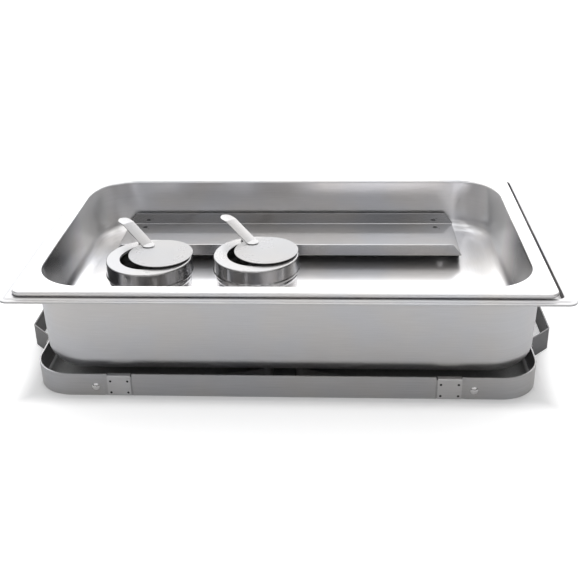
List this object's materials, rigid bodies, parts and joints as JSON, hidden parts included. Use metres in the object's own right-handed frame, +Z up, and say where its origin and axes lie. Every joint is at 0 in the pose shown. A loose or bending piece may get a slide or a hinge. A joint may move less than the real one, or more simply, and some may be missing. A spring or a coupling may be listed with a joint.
{
  "type": "chafing dish",
  "caption": "Full size chafing dish packed for storage: folding band frame, water pan, food pan, burner shelf and fuel holders with swinging dampers.",
  "frame": {"origin": "centre of the frame ring in plan, on the face that rests on the table", "axes": "+Z up, +X along the length towards the end without fuel holders, +Y from the side with the fuel holders to the side with the burner shelf"},
  "size_m": [0.57, 0.341, 0.1368],
  "materials": {
    "band_steel": "satin stainless band with fine grain along its length",
    "pan_steel": "satin drawn stainless sheet",
    "shelf_steel": "semi-bright rolled stainless sheet",
    "cap_steel": "bright stainless with satin top faces",
    "cup_steel": "bright drawn stainless",
    "rivet_steel": "bright domed rivet",
    "washer_black": "black heat-resistant fibre washer"
  },
  "bodies": {
    "frame": {"end_hoop_left": "band_steel", "end_hoop_right": "band_steel", "side_rail_front": "band_steel", "side_rail_rear": "band_steel", "splice_plate_front_left": "band_steel", "splice_plate_front_right": "band_steel", "splice_plate_rear_left": "band_steel", "splice_plate_rear_right": "band_steel", "end_handle_left": "band_steel", "end_handle_right": "band_steel", "leg_pivot_rivets": "rivet_steel"},
    "left_leg": {"leg_left": "band_steel"},
    "right_leg": {"leg_right": "band_steel"},
    "water_tray": {"water_pan": "pan_steel"},
    "food_tray": {"food_pan": "pan_steel"},
    "shelf": {"burner_shelf": "shelf_steel"},
    "left_cup": {"fuel_cup_left": "cup_steel"},
    "left_cap": {"fuel_cap_left": "cap_steel", "damper_washer_left": "washer_black", "damper_rivet_left": "rivet_steel"},
    "left_damper": {"damper_disc_left": "cap_steel", "damper_lever_left": "cap_steel"},
    "right_cup": {"fuel_cup_right": "cup_steel"},
    "right_cap": {"fuel_cap_right": "cap_steel", "damper_washer_right": "washer_black", "damper_rivet_right": "rivet_steel"},
    "right_damper": {"damper_disc_right": "cap_steel", "damper_lever_right": "cap_steel"}
  },
  "joints": [
    {"name": "left_leg_fold", "type": "hinge", "parent": "frame", "child": "left_leg", "pos_m": [-0.1914, 0, 0.01], "axis": [0, 1, 0], "range_deg": [0, 90]},
    {"name": "right_leg_fold", "type": "hinge", "parent": "frame", "child": "right_leg", "pos_m": [0.1914, 0, 0.01], "axis": [0, -1, 0], "range_deg": [0, 90]},
    {"name": "water_pan_lift", "type": "slide", "parent": "frame", "child": "water_tray", "axis": [0, 0, 1], "range_m": [0, 0.12]},
    {"name": "food_pan_lift", "type": "slide", "parent": "water_tray", "child": "food_tray", "axis": [0, 0, 1], "range_m": [0, 0.09]},
    {"name": "shelf_lift", "type": "slide", "parent": "food_tray", "child": "shelf", "axis": [0, 0, 1], "range_m": [0, 0.085]},
    {"name": "left_cup_lift", "type": "slide", "parent": "food_tray", "child": "left_cup", "axis": [0, 0, 1], "range_m": [0, 0.07]},
    {"name": "left_cap_lift", "type": "slide", "parent": "left_cup", "child": "left_cap", "axis": [0, 0, 1], "range_m": [0, 0.03]},
    {"name": "left_damper_swing", "type": "hinge", "parent": "left_cap", "child": "left_damper", "pos_m": [-0.15703, -0.03276, 0.1168], "axis": [0, 0, 1], "range_deg": [-18.6, 96.4]},
    {"name": "right_cup_lift", "type": "slide", "parent": "food_tray", "child": "right_cup", "axis": [0, 0, 1], "range_m": [0, 0.07]},
    {"name": "right_cap_lift", "type": "slide", "parent": "right_cup", "child": "right_cap", "axis": [0, 0, 1], "range_m": [0, 0.03]},
    {"name": "right_damper_swing", "type": "hinge", "parent": "right_cap", "child": "right_damper", "pos_m": [-0.04515, -0.02413, 0.1168], "axis": [0, 0, 1], "range_deg": [-16.2, 98.8]}
  ]
}
